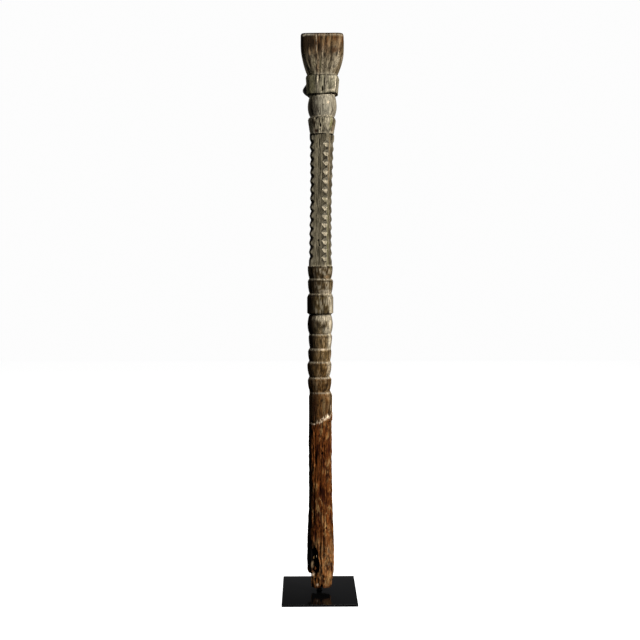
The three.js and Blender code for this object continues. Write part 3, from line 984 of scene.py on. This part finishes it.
def timber_mesh():
    """Rows of points over the whole timber from its socket to its crown, and their colours."""
    low, middle, high = carved_rows()
    grids = [band_grid(low), band_grid(middle), shaft_grid(), band_grid(high)]
    angle, z, radius, shift = (np.concatenate(parts) for parts in zip(*grids))
    on_lug = within(z, LUG.bottom - 3, LUG.top + 5)
    radius = np.maximum(radius, np.where(on_lug, lug_height(angle, z), 0))
    radius, sunk = carve(angle, z, radius)
    radius, hollow = decay(angle, z, radius)
    ragged = np.clip(1 - (z - FOOT.bottom) / FOOT.ragged, 0, 1)
    lift = foot_end(angle) * ragged + collar_rise(angle, z)
    turn = np.radians(angle)
    x = bend(z) + shift + radius * np.sin(turn)
    y = -radius * np.cos(turn)
    points = np.stack([x, y, z + lift], axis=-1)
    colours = np.concatenate([paint(angle, z, sunk, hollow), roughening(z)[..., None]], axis=-1)
    return with_ends(points, colours)


def crown_rows(rim):
    """The top's end grain, from the rim in: a shallow dish with radial checks, and its colours."""
    middle = np.array([bend(POST_TOP), 0, 0])
    across = rim - middle
    angle = np.degrees(np.arctan2(across[:, 0], -across[:, 1]))
    rows = []
    shades = []
    for share in np.linspace(CROWN.outer, CROWN.inner, CROWN.rows):
        out = np.linalg.norm(across[:, :2], axis=1) * share
        checks = thin_lines(angle, out, 22, 60, 94, 0.16) * ramp(out, 6, 24)
        ring = np.sin(out * 1.5 + 2.5 * streaks(angle, out, 9, 30, 95))
        drop = CROWN.dish * (1 - share) + CROWN.check * checks + CROWN.ring * ring
        row = middle + across * share
        row[:, 2] = POST_TOP - np.minimum(drop, CROWN.deepest)
        rows.append(row)
        tone = blend(OLIVE, UMBER, 0.5 + 0.5 * ring)
        # Painted shade in the radial checks, and darker stains at random
        tone = blend(tone, SOOT_AND_SHADE, 0.8 * checks + 0.4 * ramp(streaks(angle, out, 14, 24, 96), 0, 0.7))
        shades.append(np.concatenate([tone, np.full((len(tone), 1), CROWN.dirt)], axis=1))
    return rows, shades


def socket_rows(foot):
    """The ragged end under the foot and the socket for the rod, from its closed end out."""
    ring = foot.copy()
    ring[:, :2] *= ((ROD_RADIUS + FIT_GAP) / np.linalg.norm(foot[:, :2], axis=1))[:, None]
    ring[:, 2] = FOOT.bottom + SOCKET.rise
    deep = ring.copy()
    deep[:, 2] = ROD_TOP + FIT_GAP
    rows = [deep * [SOCKET.closed, SOCKET.closed, 1], deep, ring]
    for share in SOCKET.ring_shares:
        row = ring + (foot - ring) * share
        row[:, 2] += SOCKET.ragged * np.sin(np.arange(len(row)) * 1.7 + 9 * share)
        rows.append(row)
    return rows


def with_ends(points, colours):
    """The side's rows, closed over the top and under the foot."""
    over, over_shades = crown_rows(points[-1])
    under = socket_rows(points[0])
    rows = np.concatenate([np.array(under), points, np.array(over)])
    end = np.broadcast_to([*RAW_DARK, SOCKET.dirt], (len(under), points.shape[1], 4))
    return rows, np.concatenate([end, colours, np.array(over_shades)])


def linked(name, data):
    """An object in the scene that holds the data."""
    made = bpy.data.objects.new(name, data)
    bpy.context.scene.collection.objects.link(made)
    return made


def shade_smooth(mesh):
    mesh.polygons.foreach_set("use_smooth", np.ones(len(mesh.polygons), dtype=bool))
    mesh.set_sharp_from_angle(angle=math.radians(SHARP_ANGLE))


def unwrap(mesh, count, across, strips=4, side_margin=0.01, end_margin=0.005, cap_corner=0.001):
    """Lays the tube flat as strips side by side, so that a map of it is about as fine along as across."""
    row, column = np.divmod(np.arange((count - 1) * across), across)
    strip = row * strips // (count - 1)
    first = np.ceil(strip * (count - 1) / strips)
    last = np.ceil((strip + 1) * (count - 1) / strips)
    corners = []
    for up, along in ((0, 0), (0, 1), (1, 1), (1, 0)):
        u = (strip + side_margin + (1 - 2 * side_margin) * (column + along) / across) / strips
        v = end_margin + (1 - 2 * end_margin) * (row + up - first) / (last - first)
        corners.append(np.stack([u, v], axis=-1))
    flat = np.stack(corners, axis=1).reshape(-1, 2)
    caps = np.full((len(mesh.loops) - len(flat), 2), cap_corner)
    layer = mesh.uv_layers.new(name="OFBake")
    layer.uv.foreach_set("vector", np.concatenate([flat, caps]).astype(np.float32).ravel())


def mesh_object(name, rows, shades):
    """A closed tube of quads from rows of points, with each point's four shades in the attribute 'tint'."""
    count, across, _ = rows.shape
    index = np.arange(count * across).reshape(count, across)
    right = np.roll(index, -1, axis=1)
    quads = np.stack([index[:-1], right[:-1], right[1:], index[1:]], axis=-1).reshape(-1, 4)
    faces = quads.tolist()
    faces.append(index[0][::-1].tolist())
    faces.append(index[-1].tolist())
    mesh = bpy.data.meshes.new(name)
    mesh.from_pydata((rows.reshape(-1, 3) * MM).tolist(), [], faces)
    unwrap(mesh, count, across)
    tint = mesh.color_attributes.new("tint", "FLOAT_COLOR", "POINT")
    tint.data.foreach_set("color", shades.astype(np.float32).ravel())
    shade_smooth(mesh)
    mesh.update()
    return linked(name, mesh)


# Materials
class Nodes:
    """Short names for building one material's node tree."""

    def __init__(self, name):
        self.material = bpy.data.materials.new(name)
        self.material.use_nodes = True
        self.tree = self.material.node_tree
        self.surface = self.tree.nodes["Principled BSDF"]

    def add(self, kind, **settings):
        node = self.tree.nodes.new(kind)
        for key, value in settings.items():
            setattr(node, key, value)
        return node

    def link(self, output, socket):
        self.tree.links.new(output, socket)

    def noise(self, scale, detail=4.0, roughness=0.6):
        """Noise stretched by a scale for each axis, over the piece's own coordinates."""
        place = self.add("ShaderNodeTexCoord")
        stretch = self.add("ShaderNodeMapping")
        stretch.inputs["Scale"].default_value = scale
        self.link(place.outputs["Object"], stretch.inputs["Vector"])
        noise = self.add("ShaderNodeTexNoise")
        noise.inputs["Scale"].default_value = 1.0
        noise.inputs["Detail"].default_value = detail
        noise.inputs["Roughness"].default_value = roughness
        self.link(stretch.outputs["Vector"], noise.inputs["Vector"])
        return noise.outputs["Fac"]

    def span(self, value, low, high, to_low, to_high):
        """A value between low and high, moved to lie between to_low and to_high."""
        node = self.add("ShaderNodeMapRange")
        self.link(value, node.inputs["Value"])
        for name, number in zip(("From Min", "From Max", "To Min", "To Max"), (low, high, to_low, to_high)):
            node.inputs[name].default_value = number
        return node.outputs["Result"]

    def combine(self, operation, first, second):
        node = self.add("ShaderNodeMath", operation=operation)
        self.link(first, node.inputs[0])
        self.link(second, node.inputs[1])
        return node.outputs["Value"]

    def darken(self, colour, factor, share=None):
        """A colour times a factor, in full or by a share."""
        node = self.add("ShaderNodeMix", data_type="RGBA", blend_type="MULTIPLY")
        node.inputs["Factor"].default_value = 1.0
        if share is not None:
            self.link(share, node.inputs["Factor"])
        self.link(colour, node.inputs["A"])
        self.link(factor, node.inputs["B"])
        return node.outputs["Result"]

    def feed(self, output, name):
        self.link(output, self.surface.inputs[name])

    def fix(self, name, value):
        self.surface.inputs[name].default_value = value

    def bump(self, height, strength, distance):
        node = self.add("ShaderNodeBump")
        node.inputs["Strength"].default_value = strength
        node.inputs["Distance"].default_value = distance
        self.link(height, node.inputs["Height"])
        self.feed(node.outputs["Normal"], "Normal")


def wood():
    nodes = Nodes("weathered wood")
    tint = nodes.add("ShaderNodeAttribute", attribute_name="tint")
    fibre = nodes.noise((420, 420, 16))
    hair = nodes.noise((1400, 1400, 60), detail=2.0)
    runs = nodes.span(nodes.noise((250, 250, 30), detail=3.0), 0.36, 0.64, 0.4, 1.5)
    specks = nodes.span(nodes.noise((330, 330, 190), detail=1.0), 0.3, 0.44, 0.35, 1.0)
    dirt = nodes.combine("MULTIPLY", runs, specks)
    shaded = nodes.darken(tint.outputs["Color"], nodes.span(fibre, 0.3, 0.7, 0.62, 1.3))
    nodes.feed(nodes.darken(shaded, dirt, tint.outputs["Alpha"]), "Base Color")
    nodes.feed(nodes.span(fibre, 0.3, 0.7, 0.9, 0.7), "Roughness")
    nodes.fix("Specular IOR Level", 0.05)
    height = nodes.combine("ADD", fibre, nodes.span(hair, 0.0, 1.0, 0.0, 0.35))
    nodes.bump(height, strength=0.55, distance=0.0016)
    return nodes.material


def black_steel(name, gloss):
    nodes = Nodes(name)
    cloud = nodes.noise((22, 22, 22), detail=3.0)
    speck = nodes.noise((900, 900, 900), detail=1.0)
    nodes.fix("Base Color", (0.0015, 0.0015, 0.0015, 1))
    nodes.feed(nodes.span(cloud, 0.3, 0.7, 0.1, 0.14), "Roughness")
    nodes.fix("Specular IOR Level", gloss)
    nodes.bump(speck, strength=0.01, distance=0.0004)
    return nodes.material


# Steel stand
def plate_object():
    """Flat plate with rounded corners and eased edges."""
    half = PLATE_THICKNESS * MM / 2
    mesh = bpy.data.meshes.new("plate")
    bm = bmesh.new()
    bmesh.ops.create_cube(bm, size=1.0)
    bmesh.ops.scale(bm, vec=(PLATE_WIDTH * MM, PLATE_DEPTH * MM, PLATE_THICKNESS * MM), verts=bm.verts)
    bmesh.ops.translate(bm, vec=(0, 0, half), verts=bm.verts)
    upright = [e for e in bm.edges if abs(e.verts[0].co.z - e.verts[1].co.z) > half]
    bmesh.ops.bevel(bm, geom=upright, offset=PLATE_CORNER * MM, segments=5, profile=0.5, affect="EDGES")
    level = [e for e in bm.edges if abs(e.verts[0].co.z - e.verts[1].co.z) < half]
    rims = [e for e in level if e.calc_face_angle(0) > 1]
    bmesh.ops.bevel(bm, geom=rims, offset=PLATE_EDGE * MM, segments=3, profile=0.5, affect="EDGES")
    bm.to_mesh(mesh)
    bm.free()
    shade_smooth(mesh)
    return linked("plate", mesh)


def rod_object():
    """Rod with a rippled bead of weld round its foot."""
    nearly_closed = 0.05
    turn = np.linspace(0, 2 * math.pi, ROD_COLUMNS, endpoint=False)
    ripple = 0.35 * np.sin(14 * turn) + 0.3 * np.sin(5 * turn + 1)
    profile = [(nearly_closed, PLATE_THICKNESS, 0)]
    for t in np.linspace(0, 1, WELD_ROWS):
        bow = math.pi / 2 * t
        out = ROD_RADIUS + WELD * (1 - math.sin(bow))
        profile.append((out, PLATE_THICKNESS + WELD * (1 - math.cos(bow)), 1 - t))
    bare_from = PLATE_THICKNESS + 2.5 * WELD
    profile += [(ROD_RADIUS, z, 0) for z in np.linspace(bare_from, ROD_TOP - ROD_EDGE, ROD_ROWS)]
    profile += [(ROD_RADIUS - ROD_EDGE, ROD_TOP, 0), (nearly_closed, ROD_TOP, 0)]
    rows = []
    for r, z, weld in profile:
        wide = r - weld * (0.5 + ripple)
        rows.append(np.stack([wide * np.sin(turn), -wide * np.cos(turn), np.full(ROD_COLUMNS, z)], axis=-1))
    rows = np.array(rows)
    return mesh_object("rod", rows, np.full((*rows.shape[:2], 4), 0.01))


def stand_for(piece, node, material):
    piece.data.materials.append(material)
    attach(piece, "root")
    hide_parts(node)


timber = mesh_object("timber", *timber_mesh())
stand_for(timber, "carved_post", wood())
stand_for(plate_object(), "base_plate", black_steel("black steel", 0.4))
stand_for(rod_object(), "mount_rod", black_steel("bright black steel", 0.5))


# Floor, light and camera, in metres
FLOOR_WIDTH = 14
WARM = (1.0, 0.98, 0.95)
WHITE = (1.0, 1.0, 1.0)
COOL = (0.96, 0.98, 1.0)
MIDDLE = (0, 0, 0.9)
FOOT_OF_POST = (0, 0, 0)
LAMPS = [
    dict(name="key", place=(2.37, -2.2, 2.5), size=1.1, power=255, colour=WARM),
    dict(name="top", place=(0.3, -0.2, 4.4), size=1.6, power=60, colour=WHITE, aim=FOOT_OF_POST),
    dict(name="back", place=(0.4, 3.2, 3.4), size=2.0, power=260, colour=WARM, mirrored=False),
    dict(name="side", place=(-2.5, 2.4, 2.4), size=2.0, power=120, colour=COOL, mirrored=False),
]


def floor():
    bpy.ops.mesh.primitive_plane_add(size=FLOOR_WIDTH)
    made = bpy.context.object
    made.name = "floor"
    nodes = Nodes("pale floor")
    nodes.fix("Base Color", (0.25, 0.25, 0.25, 1))
    nodes.fix("Roughness", 0.9)
    nodes.fix("Specular IOR Level", 0.1)
    nodes.fix("Emission Color", (1, 1, 1, 1))
    nodes.fix("Emission Strength", 0.96)
    made.data.materials.append(nodes.material)
    made.visible_diffuse = False
    made.visible_glossy = False


def softbox(name, place, size, power, colour, aim=MIDDLE, mirrored=True):
    """A square lamp turned towards aim, which shows in reflections where it is mirrored."""
    lamp = bpy.data.lights.new(name, "AREA")
    lamp.shape = "SQUARE"
    lamp.size = size
    lamp.energy = power
    lamp.color = colour
    made = linked(name, lamp)
    made.location = place
    made.visible_camera = False
    made.visible_glossy = mirrored
    towards = np.array(aim) - np.array(place)
    made.rotation_euler = (
        math.atan2(math.hypot(towards[0], towards[1]), -towards[2]),
        0,
        math.atan2(towards[1], towards[0]) - math.pi / 2,
    )


def surroundings():
    """A room that gives little light of its own and reads as white behind the floor."""
    world = bpy.data.worlds.new("room")
    bpy.context.scene.world = world
    world.use_nodes = True
    tree = world.node_tree
    shown = tree.nodes.new("ShaderNodeLightPath")
    mix = tree.nodes.new("ShaderNodeMix")
    mix.data_type = "RGBA"
    mix.inputs["A"].default_value = (0.05, 0.05, 0.052, 1)
    mix.inputs["B"].default_value = (0.98, 0.98, 0.98, 1)
    tree.links.new(shown.outputs["Is Camera Ray"], mix.inputs["Factor"])
    tree.links.new(mix.outputs["Result"], tree.nodes["Background"].inputs["Color"])


def camera():
    lens = bpy.data.cameras.new("camera")
    lens.sensor_width = SENSOR
    lens.lens = FOCAL / FRAME * SENSOR
    made = linked("camera", lens)
    azimuth = math.radians(CAMERA_AZIMUTH)
    made.location = (
        CAMERA_DISTANCE * math.sin(azimuth) + CAMERA_ASIDE,
        -CAMERA_DISTANCE * math.cos(azimuth),
        CAMERA_HEIGHT,
    )
    made.rotation_euler = (math.radians(90 + CAMERA_PITCH), 0, azimuth)
    bpy.context.scene.camera = made


floor()
surroundings()
for lamp in LAMPS:
    softbox(**lamp)
camera()
bpy.context.scene.view_settings.view_transform = "Standard"
